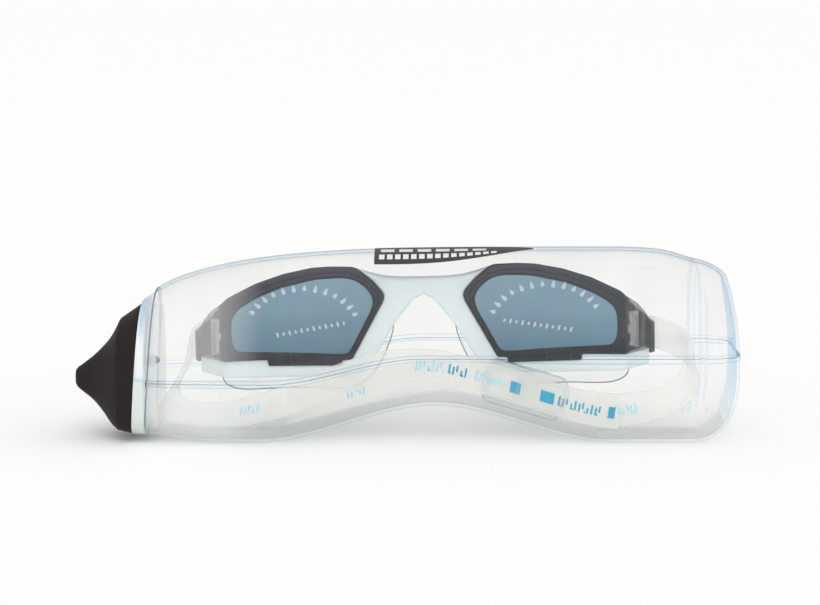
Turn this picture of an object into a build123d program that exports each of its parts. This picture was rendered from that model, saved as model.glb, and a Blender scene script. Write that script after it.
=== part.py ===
from build123d import *

from functools import lru_cache
import math
import os

# Swim goggles packed in their clear carrying case. Millimetres, +Z up. The case lies along X with its nose cone
# at -X and its front towards -Y. The origin is under the middle of the case, on the surface it rests on.

# Case: outer skin
CASE_END_X = 108.0          # far face of the tail; the nose cone's tip is as far out at -X
CASE_WALL = 1.5
FOOT_DIP = 0.3              # the skin dips this far below the floor, and is cut flat there to make the feet
ARCH_HEIGHT = 12.3          # nose arch in the case's underside
ARCH_X = 9.0
ARCH_HALF_WIDTH = 57.0
SEAM_LOW = 20.5             # parting line, low by the neck and high along the tail
SEAM_HIGH = 29.0
SEAM_STEP = (-45.0, 5.0)    # X where the parting line starts and stops rising
ROUND_TOP = 2.5             # superellipse exponents of the cross-section above and below the parting line
FLAT_BOTTOM = 4.2
SECTION_POINTS = 28
STATION_PITCH = 8.0         # the skin is ruled between cross-sections this far apart

# Height of the top of the skin and half its depth, at places along X that a smooth curve joins
CASE_PROFILE = [
    (-92.0, 40.0, 18.6), (-86.0, 44.3, 20.3), (-80.4, 49.3, 21.8), (-71.6, 53.2, 23.0), (-54.4, 57.4, 24.0),
    (-34.9, 59.9, 24.5), (-12.1, 61.3, 24.5), (20.0, 61.8, 24.5), (52.0, 62.1, 24.5), (69.0, 62.2, 24.3),
    (83.0, 61.6, 24.0), (96.0, 58.6, 23.6), (112.0, 53.6, 23.2),
]
NECK_BOTTOM_RISE = 2.6      # the underside is this much higher at the mouth than at the feet

# Mouth: a slanted plane, the clear plug's flange, then the nose cone
MOUTH_TILT = 3.8            # degrees from vertical
MOUTH_X = -88.85            # where the plane between plug and nose cone meets the floor
FLANGE_WIDTH = 4.9
FLANGE_WALL = 3.4
SKIRT_END_X = -80.3
SKIRT_WALL = 1.6
SLIP_GAP = 0.3
DISC_THICKNESS = 2.0

# Nose cone: X, bottom, top and half depth at stations from the mouth to the tip
CONE_STATIONS = [
    (-84.0, 2.0, 45.2, 20.6), (-88.3, 2.1, 42.1, 19.4), (-92.9, 3.1, 38.9, 17.6), (-94.6, 4.3, 36.2, 16.0),
    (-96.4, 6.3, 33.3, 13.7), (-98.0, 8.5, 31.2, 11.6), (-99.6, 10.4, 29.5, 9.8), (-101.2, 12.1, 27.9, 8.1),
    (-102.9, 13.6, 26.4, 6.6), (-104.6, 14.8, 25.1, 5.3), (-106.2, 15.9, 23.9, 4.1), (-107.4, 16.9, 23.1, 3.1),
    (-108.0, 18.0, 22.2, 2.1),
]
CONE_WALL = 2.4
PEG_RADIUS = 1.3
PEG_HEAD_RADIUS = 1.9
PEG_Z = 25.0
PEG_TIP_X = -80.6
PEG_HEAD_LENGTH = 3.2
PEG_BOSS_X = -98.0

# Goggles: outlines are distances out from the middle of the nose bridge, and heights
GOGGLES_X = 5.5
LENS_FRONT_Y = -8.5
LENS_THICKNESS = 2.2
LENS_OUTLINE = [
    (13.1, 45.5), (12.6, 47.2), (13.2, 48.8), (16.3, 52.4), (20.6, 56.0), (22.7, 57.0), (30.0, 57.2), (36.0, 56.9),
    (45.1, 55.1), (54.2, 52.1), (63.7, 47.4), (69.5, 42.9), (72.8, 38.8), (74.5, 35.0), (74.7, 26.6), (50.7, 27.3),
    (50.7, 25.3), (26.8, 25.0), (26.8, 26.7), (23.5, 26.8),
]
PANE_OUTLINE = [
    (60.8, 30.0), (62.4, 32.2), (62.8, 36.0), (62.5, 41.0), (60.3, 44.0), (54.5, 47.6), (46.0, 51.1), (34.8, 53.6),
    (25.3, 53.8), (21.3, 52.8), (17.8, 50.0), (15.8, 46.5), (16.6, 43.0), (24.1, 28.9), (27.0, 28.5),
]
SIDE_BEND = (63.6, 66.2, -7.0)       # the front stays flat to the first, and the side window starts at the others
SIDE_END = (75.0, 8.2)
FILM_THICKNESS = 0.25
FRAME_FRONT_Y = -7.6
FRAME_BACK_Y = -1.0
FRAME_OUTLINE = [
    (0.0, 52.9), (8.0, 53.0), (13.0, 53.5), (18.0, 54.8), (22.9, 56.4), (30.0, 56.7), (36.0, 56.4),
    (45.0, 54.5), (54.0, 51.5), (61.5, 47.6), (62.0, 38.0), (62.0, 21.6), (24.0, 21.4), (20.0, 22.8),
    (15.8, 27.9), (13.8, 31.2), (10.9, 36.1), (8.6, 39.4), (3.4, 45.9), (0.0, 47.6),
]
LIP_BOTTOM_Z = 21.5
LIP_TOP_Z = 27.1
SEAL_BACK_Y = 13.0
SEAL_WALL = 1.3
SEAL_FRONT = [
    (61.2, 28.6), (61.8, 37.0), (59.6, 43.6), (52.0, 49.4), (40.5, 52.6), (26.2, 53.4),
    (17.2, 45.2), (18.0, 40.0), (23.8, 30.0), (42.0, 28.0),
]
SEAL_BACK = [
    (66.6, 20.6), (66.2, 31.0), (63.0, 42.0), (54.0, 48.8), (41.0, 52.4), (24.5, 52.4),
    (12.6, 45.8), (10.4, 36.4), (16.4, 20.8), (42.0, 14.0),
]

# Strap brackets at the temples
BRACKET_PLAN = [(74.9, 8.8), (76.5, 11.0), (76.5, 15.8), (70.6, 15.8), (70.6, 11.4), (73.1, 10.1)]
BRACKET_Z = (24.7, 38.3)
SLOT_Y = (12.1, 14.5)
SLOT_Z = (25.8, 37.2)

# Straps: flat bands standing on edge. Each station is X, Y and the height of the band's middle.
STRAP_WIDTH = 10.8
STRAP_THICKNESS = 1.5
CLIP_X = 38.0
CLIP_Y = -13.5
CLIP_Z = 17.6
CLIP_SLOPE = 0.3            # both straps fall this much per mm of X where the clip holds them
CLIP_STRAIGHT = 18.0        # they run straight for this distance to each side of the clip
STRAP_PITCH = 3.2           # between the two straps' middles, through the thickness
LEFT_STRAP_START = [
    (-63.5, 13.3, 31.5), (-71.2, 13.3, 31.3), (-73.8, 11.2, 29.2), (-75.0, 6.0, 24.8), (-76.6, 0.0, 19.4),
    (-77.6, -5.6, 14.6), (-75.4, -10.8, 11.4), (-69.5, -13.9, 9.6), (-60.0, -15.2, 9.3), (-48.0, -15.3, 11.4),
    (-36.0, -15.2, 15.2), (-24.0, -15.0, 20.0), (-11.0, -15.0, 24.3), (0.0, -15.1, 25.6), (11.0, -15.1, 25.2),
]
LEFT_STRAP_TAIL = [(62.0, -15.1, 10.9), (68.0, -15.0, 10.2)]
RIGHT_STRAP_START = [
    (74.5, 13.3, 31.5), (82.6, 13.3, 31.3), (88.2, 11.6, 30.2), (92.2, 5.5, 27.4), (93.0, -1.5, 23.4),
    (90.8, -7.4, 18.8), (85.2, -11.0, 14.4), (76.0, -12.0, 11.3), (67.0, -11.9, 10.5),
]
RIGHT_STRAP_TAIL = [
    (10.0, -11.8, 22.0), (-1.0, -11.7, 20.2), (-13.0, -11.8, 17.8), (-25.0, -12.0, 14.8), (-38.6, -12.4, 11.2),
]
ANCHOR_RADIUS = 1.9

# Clip that holds the two straps together
CLIP_LENGTH = 28.0
CLIP_WALL = 1.1
CLIP_GAP = 0.35
CLIP_WINDOW = (8.6, 8.4)    # length and height of each window in the clip's front and back
CLIP_WINDOW_X = 7.6

# Label on the case's shoulder
LABEL_THICKNESS = 0.25
LABEL_PLAN = [(-10.5, 8.5), (-10.5, -13.2), (7.0, -14.6), (22.0, -13.2), (41.0, -4.5), (22.0, 6.5), (7.0, 9.0)]

BIG = 400.0


def smoothstep(value):
    value = min(1.0, max(0.0, value))
    return value * value * (3.0 - 2.0 * value)


def seam_z(x):
    """Height of the parting line between the case's halves."""
    start, stop = SEAM_STEP
    return SEAM_LOW + (SEAM_HIGH - SEAM_LOW) * smoothstep((x - start) / (stop - start))


def bottom_z(x):
    """Height of the case's underside: an arch in the middle, feet beside it and a slight rise at the neck."""
    arch = ARCH_HEIGHT * (1.0 - smoothstep(abs(x - ARCH_X) / ARCH_HALF_WIDTH))
    neck = NECK_BOTTOM_RISE * smoothstep((-60.0 - x) / 30.0)
    return arch + neck - FOOT_DIP


def profile_at(x, column):
    """Value of the case's profile at x, on a smooth curve that doesn't swing past its points."""
    xs = [row[0] for row in CASE_PROFILE]
    ys = [row[column] for row in CASE_PROFILE]
    rises = [(ys[i + 1] - ys[i]) / (xs[i + 1] - xs[i]) for i in range(len(xs) - 1)]
    slopes = [rises[0]]
    for before, after in zip(rises, rises[1:]):
        slopes.append(0.0 if before * after <= 0 else 2 * before * after / (before + after))
    slopes.append(rises[-1])
    i = max(k for k in range(len(xs) - 1) if k == 0 or xs[k] <= x)
    span = xs[i + 1] - xs[i]
    t = (x - xs[i]) / span
    start = (1 + 2 * t) * (1 - t) ** 2 * ys[i] + t * (1 - t) ** 2 * span * slopes[i]
    return start + t * t * (3 - 2 * t) * ys[i + 1] - t * t * (1 - t) * span * slopes[i + 1]


def section(x, low, middle, high, half_depth):
    """Closed cross-section on the plane at x, widest at the parting line."""
    points = []
    for step in range(SECTION_POINTS):
        angle = 2.0 * math.pi * (step + 0.5) / SECTION_POINTS
        across, up = math.cos(angle), math.sin(angle)
        power = 2.0 / (ROUND_TOP if up > 0 else FLAT_BOTTOM)
        reach = (high - middle) if up > 0 else (middle - low)
        y = half_depth * math.copysign(abs(across) ** power, across)
        z = middle + reach * math.copysign(abs(up) ** power, up)
        points.append((x, y, z))
    return Face(Wire([Spline(*points, periodic=True)]))


@lru_cache
def case_body(inset):
    """The case as one solid, with its skin moved in by inset."""
    first, last = CASE_PROFILE[0][0], CASE_PROFILE[-1][0]
    count = round((last - first) / STATION_PITCH)
    xs = [first + (last - first) * i / count for i in range(count + 1)]
    body = loft([section(x, bottom_z(x) + inset, seam_z(x), profile_at(x, 1) - inset, profile_at(x, 2) - inset)
                 for x in xs], ruled=True)
    end = CASE_END_X - inset
    side = Polyline((-100, -5), (end - 9, -5), close=False) + Spline(
        (end - 9, -5), (end - 3.6, 4.5 + inset * 0.6), (end - 0.7, 13), (end, 25), (end - 0.9, 36),
        (end - 2.6, 47), (end - 5.4, 55.5 - inset), (end - 9, 70)) + Polyline((end - 9, 70), (-100, 70), (-100, -5))
    body &= extrude(Plane.XZ * make_face(side.edges()), amount=50, both=True)
    plan = RectangleRounded(2 * end, 46.6 - 2 * inset, 13.0 - inset)
    plan += Pos(-end / 2, 0) * Rectangle(end, 60)
    body &= extrude(Pos(0, 0, -10) * plan, amount=90)
    floor = max(0.0, inset - FOOT_DIP)
    return body & Pos(0, 0, floor + BIG / 2) * Box(BIG, BIG, BIG)


def right_of(x):
    """Everything on the tail's side of a plane parallel to the mouth that meets the floor at x."""
    return Pos(x, 0, 0) * Rot(0, MOUTH_TILT, 0) * Pos(BIG / 2, 0, 0) * Box(BIG, BIG, BIG)


def above_seam():
    """Everything above the parting line."""
    count = 10
    start, stop = SEAM_STEP
    rise = [(start + (stop - start) * i / count, seam_z(start + (stop - start) * i / count)) for i in range(count + 1)]
    curve = Polyline((120.0, SEAM_HIGH), (120.0, 100.0), (-120.0, 100.0), (-120.0, SEAM_LOW))
    curve += Line((-120.0, SEAM_LOW), rise[0]) + Spline(*rise, tangents=[(1, 0), (1, 0)])
    curve += Line(rise[-1], (120.0, SEAM_HIGH))
    return extrude(Plane.XZ * make_face(curve.edges()), amount=60, both=True)


def case_shells():
    """Upper and lower halves of the case, which meet at the parting line."""
    shell = (case_body(0.0) - case_body(CASE_WALL)) & right_of(MOUTH_X + FLANGE_WIDTH)
    above = above_seam()
    return shell & above, shell - above


def neck_section(inset, grow_x):
    """Face of the neck's bore at the mouth, at the X where the skirt starts."""
    x = MOUTH_X + FLANGE_WIDTH - 0.2
    top = 46.3
    return Pos(grow_x, 0, 0) * section(x, bottom_z(x) + inset, seam_z(x), top - inset, 20.9 - inset)


def cap_plug():
    """Clear plug: a flange flush with the case, a skirt inside the neck and a disc that holds the peg."""
    flange = (case_body(0.0) & right_of(MOUTH_X)) - right_of(MOUTH_X + FLANGE_WIDTH)
    flange -= case_body(FLANGE_WALL)
    outer = extrude(neck_section(CASE_WALL + SLIP_GAP, 0), amount=20, dir=(1, 0, 0), both=True)
    inner = extrude(neck_section(CASE_WALL + SLIP_GAP + SKIRT_WALL, 0), amount=20, dir=(1, 0, 0), both=True)
    skirt = (outer - inner) & right_of(MOUTH_X + 2.0)
    skirt &= Pos(SKIRT_END_X - BIG / 2, 0, 0) * Box(BIG, BIG, BIG)
    disc = outer & right_of(MOUTH_X + 1.2)
    disc -= right_of(MOUTH_X + 1.2 + DISC_THICKNESS)
    hole = Pos(MOUTH_X, 0, PEG_Z) * Rot(0, 90, 0) * Cylinder(PEG_RADIUS + 0.1, 30)
    return flange + skirt + (disc - hole)


def cap_nose_cone():
    """Black nose cone, hollow, with a barbed peg that goes through the plug's disc."""
    def cone(inset):
        stations = [s for s in CONE_STATIONS if s[2] - s[1] > 4 * inset]
        return loft([section(x, low + inset, SEAM_LOW - 0.8, high - inset, depth - inset)
                     for x, low, high, depth in stations], ruled=True)
    body = (cone(0.0) - cone(CONE_WALL)) - right_of(MOUTH_X)
    head_x = PEG_TIP_X - PEG_HEAD_LENGTH / 2
    head = Pos(head_x, 0, PEG_Z) * Rot(0, 90, 0) * Cone(PEG_HEAD_RADIUS, 0.5, PEG_HEAD_LENGTH)
    length = PEG_TIP_X - PEG_HEAD_LENGTH - PEG_BOSS_X
    shaft = Pos(PEG_BOSS_X + length / 2, 0, PEG_Z) * Rot(0, 90, 0) * Cylinder(PEG_RADIUS, length)
    boss = Pos(PEG_BOSS_X, 0, PEG_Z - 1.0) * Rot(0, 90, 0) * Cylinder(3.2, 7.0)
    boss &= cone(CONE_WALL / 2)
    return body + boss + shaft + head


def case_label():
    """Thin printed label on the front shoulder of the upper half."""
    stamp = extrude(Pos(0, 0, 45) * make_face(Polyline(*LABEL_PLAN, close=True).edges()), amount=30)
    return (case_body(-LABEL_THICKNESS) & stamp) - case_body(0.0)


def out_of_front(points, front_y, back_y):
    """Outline in distances from the bridge and heights, as a block from front_y to back_y on the +X side."""
    face = make_face(Polyline(*points, close=True).edges())
    return Pos(GOGGLES_X, back_y, 0) * extrude(Plane.XZ * face, amount=back_y - front_y)


def side_profile(front_y, thickness, end_trim):
    """Plan of a lens: flat across the front, then back along the temple, as a slab of the given thickness."""
    bend_start, bend_x, bend_y = SIDE_BEND
    end_x, end_y = SIDE_END
    length = math.hypot(end_x - bend_x, end_y - bend_y)
    along = ((end_x - bend_x) / length, (end_y - bend_y) / length)
    end_x, end_y = end_x - along[0] * end_trim, end_y - along[1] * end_trim
    shift = front_y - LENS_FRONT_Y
    inward = (-along[1], along[0])
    outer = [(10.0, front_y), (bend_start, front_y), (bend_x + inward[0] * shift, bend_y + inward[1] * shift),
             (end_x + inward[0] * shift, end_y + inward[1] * shift)]
    full = shift + thickness
    inner = [(end_x + inward[0] * full, end_y + inward[1] * full),
             (bend_x + inward[0] * full, bend_y + inward[1] * full + 0.4),
             (bend_start - thickness * 0.8, front_y + thickness), (10.0, front_y + thickness)]
    return make_face(Polyline(*(outer + inner), close=True).edges())


def right_lens():
    slab = Pos(GOGGLES_X, 0, 15) * extrude(side_profile(LENS_FRONT_Y, LENS_THICKNESS, 0.0), amount=50)
    return slab & out_of_front(LENS_OUTLINE, -12, 20)


def right_lens_film():
    return out_of_front(PANE_OUTLINE, LENS_FRONT_Y - FILM_THICKNESS, LENS_FRONT_Y)


def shrunk(points, distance):
    """Outline moved in towards its middle by distance."""
    middle_x = sum(p[0] for p in points) / len(points)
    middle_z = sum(p[1] for p in points) / len(points)
    moved = []
    for x, z in points:
        radius = math.hypot(x - middle_x, z - middle_z)
        keep = 1.0 - distance / radius
        moved.append((middle_x + (x - middle_x) * keep, middle_z + (z - middle_z) * keep))
    return moved


def ring_face(points, y):
    return Face(Wire([Spline(*[(GOGGLES_X + x, y, z) for x, z in points], periodic=True)]))


def right_eye_seal():
    """Clear seal that flares from the back of the frame to the face."""
    outer = loft([ring_face(SEAL_FRONT, FRAME_BACK_Y), ring_face(SEAL_BACK, SEAL_BACK_Y)])
    inner = loft([ring_face(shrunk(SEAL_FRONT, SEAL_WALL), FRAME_BACK_Y),
                  ring_face(shrunk(SEAL_BACK, SEAL_WALL), SEAL_BACK_Y)])
    return outer - inner


def mirrored(shape):
    return mirror(shape, about=Plane(origin=(GOGGLES_X, 0, 0), z_dir=(1, 0, 0)))


def frame():
    """Soft frame: a ring behind each lens, the nose bridge with its two legs, and a lip under each lens."""
    half = out_of_front(FRAME_OUTLINE, FRAME_FRONT_Y, FRAME_BACK_Y)
    window = loft([ring_face(shrunk(SEAL_FRONT, SEAL_WALL), -20), ring_face(shrunk(SEAL_FRONT, SEAL_WALL), 20)])
    half -= window
    lip = extrude(side_profile(FRAME_FRONT_Y, 3.0, 1.0), amount=LIP_TOP_Z - LIP_BOTTOM_Z)
    half += Pos(GOGGLES_X, 0, LIP_BOTTOM_Z) * lip & Pos(GOGGLES_X + 50, 0, 20) * Box(60, 60, 60)
    half -= right_lens()
    return half + mirrored(half)


def right_strap_bracket():
    """Smoke bracket behind the side window, with an upright slot for the strap."""
    block = extrude(make_face(Polyline(*BRACKET_PLAN, close=True).edges()), amount=BRACKET_Z[1] - BRACKET_Z[0])
    slot = Box(20, SLOT_Y[1] - SLOT_Y[0], SLOT_Z[1] - SLOT_Z[0])
    slot = Pos(73, sum(SLOT_Y) / 2, sum(SLOT_Z) / 2) * slot
    return Pos(GOGGLES_X, 0, 0) * (Pos(0, 0, BRACKET_Z[0]) * block - slot)


def clip_stations(side):
    """Both ends of the straight stretch through the clip, for the strap on that side of the clip's web."""
    y = CLIP_Y + side * STRAP_PITCH / 2
    return [(CLIP_X + end * CLIP_STRAIGHT, y, CLIP_Z - end * CLIP_STRAIGHT * CLIP_SLOPE) for end in (-1, 1)]


def band(route):
    """Flat band standing on edge along a route, as blocks that meet on shared faces."""
    sections = []
    for i, (x, y, z) in enumerate(route):
        before, after = route[max(i - 1, 0)], route[min(i + 1, len(route) - 1)]
        run = math.hypot(after[0] - before[0], after[1] - before[1])
        across = (-(after[1] - before[1]) / run * STRAP_THICKNESS / 2, (after[0] - before[0]) / run * STRAP_THICKNESS / 2)
        half = STRAP_WIDTH / 2
        corners = [(x + s * across[0], y + s * across[1], z + t * half) for s, t in ((-1, -1), (1, -1), (1, 1), (-1, 1))]
        sections.append(Face(Wire(Polyline(*corners, close=True).edges())))
    return loft(sections, ruled=True)


def strap(route):
    """Strap with an upright bead at its fixed end, which can't pass the bracket's slot."""
    x, y, z = route[0]
    return band(route) + Pos(x, y, z) * Cylinder(ANCHOR_RADIUS, STRAP_WIDTH)


def left_strap():
    return strap(LEFT_STRAP_START + clip_stations(-1) + LEFT_STRAP_TAIL)


def right_strap():
    return strap(RIGHT_STRAP_START + clip_stations(1)[::-1] + RIGHT_STRAP_TAIL)


def strap_clip():
    """Clear clip with one slot for each strap and a web between them."""
    slot = STRAP_THICKNESS + 2 * CLIP_GAP
    height = STRAP_WIDTH + 2 * CLIP_GAP
    depth = STRAP_PITCH + slot + 2 * CLIP_WALL
    block = fillet(Box(CLIP_LENGTH, depth, height + 2 * CLIP_WALL).edges().filter_by(Axis.Y), 4.0)
    for side in (-1, 1):
        block -= Pos(0, side * STRAP_PITCH / 2, 0) * Box(CLIP_LENGTH * 2, slot, height)
        for end in (-1, 1):
            window = Box(CLIP_WINDOW[0], 2 * CLIP_WALL, CLIP_WINDOW[1])
            block -= Pos(end * CLIP_WINDOW_X, side * depth / 2, 0) * window
    return Pos(CLIP_X, CLIP_Y, CLIP_Z) * Rot(0, math.degrees(math.atan(CLIP_SLOPE)), 0) * block


def main():
    os.makedirs("parts", exist_ok=True)
    upper, lower = case_shells()
    parts = {
        "case_upper_shell": upper,
        "case_lower_shell": lower,
        "case_label": case_label(),
        "cap_plug": cap_plug(),
        "cap_nose_cone": cap_nose_cone(),
        "frame": frame(),
        "left_strap": left_strap(),
        "right_strap": right_strap(),
        "strap_clip": strap_clip(),
    }
    pairs = {"lens": right_lens(), "lens_film": right_lens_film(), "eye_seal": right_eye_seal(),
             "strap_bracket": right_strap_bracket()}
    for name, shape in pairs.items():
        parts["right_" + name] = shape
        parts["left_" + name] = mirrored(shape)
    for name, shape in parts.items():
        export_step(shape, f"parts/{name}.step")
        print(name, "solids", len(shape.solids()), "volume", round(shape.volume))


main()
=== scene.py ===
import math

import bmesh
import bpy
from mathutils import Matrix, Vector


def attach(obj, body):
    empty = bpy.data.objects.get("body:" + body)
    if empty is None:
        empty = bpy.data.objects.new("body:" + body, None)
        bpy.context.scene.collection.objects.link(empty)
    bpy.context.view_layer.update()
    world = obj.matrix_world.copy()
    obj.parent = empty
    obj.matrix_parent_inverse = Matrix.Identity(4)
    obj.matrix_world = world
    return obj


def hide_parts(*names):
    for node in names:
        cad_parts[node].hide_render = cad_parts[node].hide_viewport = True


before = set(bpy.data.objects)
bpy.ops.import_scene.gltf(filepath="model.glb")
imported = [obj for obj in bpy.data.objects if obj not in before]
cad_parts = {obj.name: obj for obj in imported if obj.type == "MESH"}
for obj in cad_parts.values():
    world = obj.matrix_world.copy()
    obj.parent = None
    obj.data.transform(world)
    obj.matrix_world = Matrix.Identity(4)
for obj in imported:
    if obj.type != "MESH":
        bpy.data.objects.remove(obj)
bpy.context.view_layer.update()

MM = 0.001
scene = bpy.context.scene

# Case skin, in millimetres, close to the CAD model's
CASE_END_X = 106.9
CASE_WALL = 1.1
FOOT_DIP = 0.3
ARCH_HEIGHT, ARCH_X, ARCH_HALF_WIDTH = 12.3, 9.0, 57.0
SEAM_LOW, SEAM_HIGH = 20.5, 29.0
SEAM_STEP = (-45.0, 5.0)
BEAD_HEIGHT, BEAD_PROUD = 1.3, 0.7
ROUND_TOP, FLAT_BOTTOM = 2.5, 4.2
CASE_PROFILE = [
    (-92.0, 40.0, 18.6), (-86.0, 44.3, 20.3), (-80.4, 49.3, 21.8), (-71.6, 53.2, 23.0), (-54.4, 57.4, 24.0),
    (-34.9, 59.9, 24.5), (-12.1, 61.3, 24.5), (20.0, 61.8, 24.5), (52.0, 62.1, 24.5), (68.0, 62.1, 24.3),
    (78.0, 61.7, 24.1), (88.0, 60.5, 23.9), (98.0, 58.4, 23.6), (112.0, 55.2, 23.2),
]
NECK_BOTTOM_RISE = 2.6
MOUTH_SLOPE = math.tan(math.radians(3.8))
SHELL_START_X = -88.85 + 4.2
TAIL_ROUND = 8.5
RIB_XS = (94.2, 101.6)
RIB_HALF_WIDTH, RIB_DEPTH = 1.9, 0.9

# Goggles, in millimetres: distances out from the middle of the nose bridge, and heights
GOGGLES_X = 5.5
BRIDGE_Z = 40.0
GOGGLES_TILT = 1.2
LENS_FRONT_Y = -8.5
LENS_THICKNESS = 2.2
FRAME_SETBACK = LENS_THICKNESS * 1.35       # how far the frame's skin stays behind the lens's face
BRACKET_DROP, BRACKET_TRIM = 3.6, 0.9       # taken off the bracket's top and its outer end
BEND_X, BEND_Y = 65.0, -8.5
SIDE_END = (75.0, 8.2)
LENS_OUTLINE = [
    (13.1, 45.5), (12.6, 47.2), (13.2, 48.8), (16.3, 52.4), (20.6, 56.0), (22.7, 57.0), (30.0, 57.2), (36.0, 56.9),
    (45.1, 55.1), (54.2, 52.1), (63.7, 47.4), (69.5, 42.9), (72.8, 38.8), (74.5, 35.0), (74.7, 26.6), (50.7, 27.3),
    (50.7, 25.3), (26.8, 25.0), (26.8, 26.7), (23.5, 26.8),
]
PANE_OUTLINE = [
    (60.8, 30.0), (62.4, 32.2), (62.8, 36.0), (62.5, 41.0), (60.3, 44.0), (54.5, 47.6), (46.0, 51.1), (34.8, 53.6),
    (25.3, 53.8), (21.3, 52.8), (17.8, 50.0), (15.8, 46.5), (16.6, 43.0), (24.1, 28.9), (27.0, 28.5),
]
PANE_MIDDLE = (40.0, 41.0)
# The lens's band: share of the way in from its outline to the pane, and depth behind its face
LENS_BAND = [
    (0.16, 0.02), (0.24, 0.0), (0.32, 0.0), (0.40, 0.0), (0.47, 0.02), (0.50, 0.22), (0.55, 0.24), (0.60, 0.06),
    (0.66, 0.04), (0.74, 0.04), (0.82, 0.05), (0.9, 0.08), (0.94, 0.3), (1.0, 0.42),
]
SEAL_FRONT = [
    (61.2, 28.6), (61.8, 37.0), (59.6, 43.6), (52.0, 49.4), (40.5, 52.6), (26.2, 53.4),
    (17.2, 45.2), (18.0, 40.0), (23.8, 30.0), (42.0, 28.0),
]
SEAL_BACK = [
    (67.4, 20.5), (66.2, 16.8), (62.0, 14.8), (46.4, 14.8), (34.0, 14.5), (28.7, 14.1), (24.0, 14.8), (19.1, 17.2),
    (15.0, 22.2), (12.4, 27.5), (10.5, 33.0), (10.2, 37.5), (13.0, 45.8), (24.5, 52.4), (41.0, 52.4), (54.0, 48.8),
    (63.0, 42.0), (66.2, 31.0),
]
SEAL_Y = (-1.0, 13.0)
FILM_PRINT_DEPTH = -0.03

# Straps
STRAP_WIDTH, STRAP_THICKNESS, STRAP_EDGE = 10.8, 1.5, 0.5
# Stations of each strap: X, Y, the height of its middle, and how far it leans back in degrees
LEFT_STRAP = [
    (-63.5, 13.3, 30.3, 0), (-69.5, 13.3, 29.8, 0), (-71.8, 12.4, 26.5, 8), (-73.4, 10.4, 21.2, 26),
    (-76.0, 6.2, 16.4, 36), (-77.6, 0.6, 13.2, 38), (-77.0, -5.4, 11.0, 48), (-73.4, -10.2, 9.9, 58),
    (-67.0, -13.0, 9.4, 60), (-60.0, -14.3, 9.3, 56), (-48.0, -15.0, 11.4, 38), (-36.0, -15.2, 15.2, 12),
    (-24.0, -15.0, 20.0, 0), (-11.0, -15.0, 24.3, 0), (0.0, -15.1, 25.6, 0), (11.0, -15.1, 25.2, 0),
    (20.0, -15.1, 23.0, 0), (38.0, -15.1, 17.6, 0), (56.0, -15.1, 12.2, 0), (62.0, -15.1, 10.9, 0),
    (68.0, -15.0, 10.2, 0),
]
RIGHT_STRAP = [
    (74.5, 13.3, 32.7, 0), (82.0, 13.3, 32.4, 0), (88.2, 11.6, 30.2, 0), (92.2, 5.5, 27.4, 6),
    (93.0, -1.5, 23.4, 16), (90.8, -7.4, 18.8, 26), (85.2, -10.6, 14.4, 32), (76.0, -11.6, 11.6, 26),
    (67.0, -11.9, 10.7, 10), (56.0, -11.9, 12.2, 0), (38.0, -11.9, 17.6, 0), (20.0, -11.9, 23.0, 0),
    (10.0, -11.8, 22.0, 0), (-1.0, -11.7, 20.2, 0), (-13.0, -11.8, 17.8, 0), (-25.0, -12.0, 14.8, 0),
    (-38.6, -12.4, 11.2, 0),
]

# Nose cone: X, bottom, top and half depth at stations from the mouth to the tip, and the peg behind it
CONE_STATIONS = [
    (-84.0, 2.0, 45.2, 20.6), (-88.3, 2.1, 42.1, 19.4), (-92.9, 3.1, 38.9, 17.6), (-94.6, 4.3, 36.2, 16.0),
    (-96.4, 6.3, 33.3, 13.7), (-98.0, 8.5, 31.2, 11.6), (-99.6, 10.4, 29.5, 9.8), (-101.2, 12.1, 27.9, 8.1),
    (-102.9, 13.6, 26.4, 6.6), (-104.6, 14.8, 25.1, 5.3), (-106.2, 15.9, 23.9, 4.1), (-107.4, 16.9, 23.1, 3.1),
    (-108.0, 18.0, 22.2, 2.1),
]
CONE_MIDDLE_Z = 19.7
CONE_SAG = 0.45             # how much lower the middle is past the soft edge
CONE_EDGE_X = -92.9
MOUTH_X = -88.85
PEG = [(-90.0, 1.3), (-84.0, 1.3), (-83.8, 1.9), (-82.2, 1.5), (-80.8, 0.7), (-80.6, 0.3)]
PEG_Z = 25.0


# ---- Camera, light and floor ----

CAMERA_DISTANCE = 1.0
CAMERA_AZIMUTH, CAMERA_ELEVATION = 0.5, 7.5
FIELD_MM = 266.5            # what the frame's width covers at the object's middle
SENSOR_MM = 36.0
AIM = Vector((0.0009, 0.0, 0.0440))
WORLD_FRONT, WORLD_BACK = 1.28, 0.46
SUN_FROM, SUN_STRENGTH, SUN_SPREAD = Vector((-0.05, -1.0, 0.80)), 0.85, 40.0


def make_camera():
    a, e = math.radians(CAMERA_AZIMUTH), math.radians(CAMERA_ELEVATION)
    offset = Vector((math.sin(a) * math.cos(e), -math.cos(a) * math.cos(e), math.sin(e))) * CAMERA_DISTANCE
    data = bpy.data.cameras.new("camera")
    data.sensor_width = SENSOR_MM
    data.lens = SENSOR_MM * CAMERA_DISTANCE / (FIELD_MM * MM)
    data.clip_start, data.clip_end = 0.01, 50.0
    camera = bpy.data.objects.new("camera", data)
    camera.location, camera.rotation_euler = AIM + offset, (-offset).to_track_quat("-Z", "Y").to_euler()
    scene.collection.objects.link(camera)
    scene.camera = camera


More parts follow.
